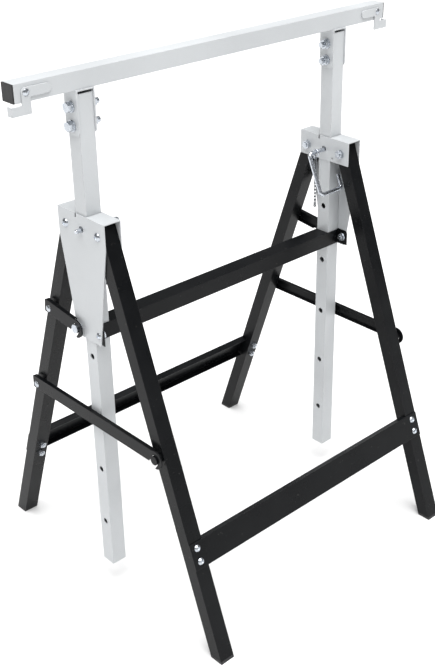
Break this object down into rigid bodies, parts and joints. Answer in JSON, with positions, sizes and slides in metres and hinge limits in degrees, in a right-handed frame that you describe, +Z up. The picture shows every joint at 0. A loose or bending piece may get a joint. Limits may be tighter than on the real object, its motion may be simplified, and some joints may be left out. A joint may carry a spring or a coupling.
{
  "type": "folding sawhorse",
  "caption": "Folding steel sawhorse with splayed leg frames, hooked brace straps and a beam on two posts held at a set height by lock pins.",
  "frame": {"origin": "centre of the four feet, on the floor they stand on", "axes": "+X along the beam, +Y across it towards the back legs, +Z up"},
  "size_m": [0.72, 0.5414, 0.842],
  "materials": {
    "silver_paint": "satin",
    "black_paint": "semi-gloss",
    "black_stud": "semi-gloss",
    "black_plastic": "matt",
    "zinc": "zinc plated",
    "bright_steel": "zinc plated"
  },
  "bodies": {
    "head": {"housing_left": "silver_paint", "housing_right": "silver_paint", "crossbar_upper": "black_paint", "crossbar_upper_bolts": "zinc", "leg_pivot_bolts_left": "zinc", "leg_pivot_bolts_right": "zinc", "upper_strap_studs": "zinc", "chain_left": "bright_steel", "chain_right": "bright_steel", "chain_anchors": "bright_steel"},
    "mast": {"beam_tube": "silver_paint", "end_cap_left": "black_plastic", "end_cap_right": "black_plastic", "saddle_left": "silver_paint", "saddle_right": "silver_paint", "saddle_bolts_left": "zinc", "saddle_bolts_right": "zinc", "post_left": "silver_paint", "post_right": "silver_paint", "end_stop_rivets": "zinc"},
    "stop_left": {"end_stop_left": "silver_paint"},
    "stop_right": {"end_stop_right": "silver_paint"},
    "front_legs": {"leg_front_left": "black_paint", "leg_front_right": "black_paint", "foot_front_left": "black_plastic", "foot_front_right": "black_plastic", "crossbar_front": "black_paint", "crossbar_front_bolts": "zinc", "lower_strap_studs": "black_stud"},
    "back_legs": {"leg_back_left": "black_paint", "leg_back_right": "black_paint", "foot_back_left": "black_plastic", "foot_back_right": "black_plastic", "crossbar_back": "black_paint", "crossbar_back_bolts": "zinc", "upper_strap_rivets": "zinc", "lower_strap_rivets": "zinc"},
    "upper_strap_l": {"upper_strap_left": "black_paint"},
    "upper_strap_r": {"upper_strap_right": "black_paint"},
    "lower_strap_l": {"lower_strap_left": "black_paint"},
    "lower_strap_r": {"lower_strap_right": "black_paint"},
    "ring_left": {"pin_ring_left": "bright_steel"},
    "ring_right": {"pin_ring_right": "bright_steel"},
    "pin_left": {"lock_pin_left": "bright_steel"},
    "pin_right": {"lock_pin_right": "bright_steel"}
  },
  "joints": [
    {"name": "mast_slide", "type": "slide", "parent": "head", "child": "mast", "axis": [0, 0, 1], "range_m": [0, 0.6]},
    {"name": "stop_left_turn", "type": "hinge", "parent": "mast", "child": "stop_left", "pos_m": [-0.337, -0.0138, 0.83], "axis": [0, 1, 0], "range_deg": [0, 90]},
    {"name": "stop_right_turn", "type": "hinge", "parent": "mast", "child": "stop_right", "pos_m": [0.337, -0.0138, 0.83], "axis": [0, -1, 0], "range_deg": [0, 90]},
    {"name": "front_legs_fold", "type": "hinge", "parent": "head", "child": "front_legs", "pos_m": [0, -0.037, 0.618], "axis": [1, 0, 0], "range_deg": [0, 14]},
    {"name": "back_legs_fold", "type": "hinge", "parent": "head", "child": "back_legs", "pos_m": [0, 0.037, 0.618], "axis": [1, 0, 0], "range_deg": [-14, 0]},
    {"name": "upper_strap_left_lift", "type": "hinge", "parent": "back_legs", "child": "upper_strap_l", "pos_m": [-0.2675, 0.09196, 0.465], "axis": [1, 0, 0], "range_deg": [-63, 0]},
    {"name": "upper_strap_right_lift", "type": "hinge", "parent": "back_legs", "child": "upper_strap_r", "pos_m": [0.2675, 0.09196, 0.465], "axis": [1, 0, 0], "range_deg": [-63, 0]},
    {"name": "lower_strap_left_lift", "type": "hinge", "parent": "back_legs", "child": "lower_strap_l", "pos_m": [-0.2675, 0.14764, 0.31], "axis": [1, 0, 0], "range_deg": [-32.2, 0]},
    {"name": "lower_strap_right_lift", "type": "hinge", "parent": "back_legs", "child": "lower_strap_r", "pos_m": [0.2675, 0.14764, 0.31], "axis": [1, 0, 0], "range_deg": [-32.2, 0]},
    {"name": "pin_left_pull", "type": "slide", "parent": "head", "child": "ring_left", "axis": [1, 0, 0], "range_m": [0, 0.04], "deforming": ["chain_left"]},
    {"name": "pin_right_pull", "type": "slide", "parent": "head", "child": "ring_right", "axis": [-1, 0, 0], "range_m": [0, 0.04], "deforming": ["chain_right"]},
    {"name": "pin_left_turn", "type": "hinge", "parent": "ring_left", "child": "pin_left", "pos_m": [-0.23, 0, 0.6174], "axis": [1, 0, 0], "range_deg": [-2, 12]},
    {"name": "pin_right_turn", "type": "hinge", "parent": "ring_right", "child": "pin_right", "pos_m": [0.23, 0, 0.6174], "axis": [1, 0, 0], "range_deg": [-12, 2]}
  ],
  "couplings": [
    {"joint": "back_legs_fold", "follows": "front_legs_fold", "ratio": -1},
    {"joint": "upper_strap_left_lift", "follows": "front_legs_fold", "ratio": -4.5},
    {"joint": "upper_strap_right_lift", "follows": "front_legs_fold", "ratio": -4.5},
    {"joint": "lower_strap_left_lift", "follows": "front_legs_fold", "ratio": -2.3},
    {"joint": "lower_strap_right_lift", "follows": "front_legs_fold", "ratio": -2.3}
  ]
}
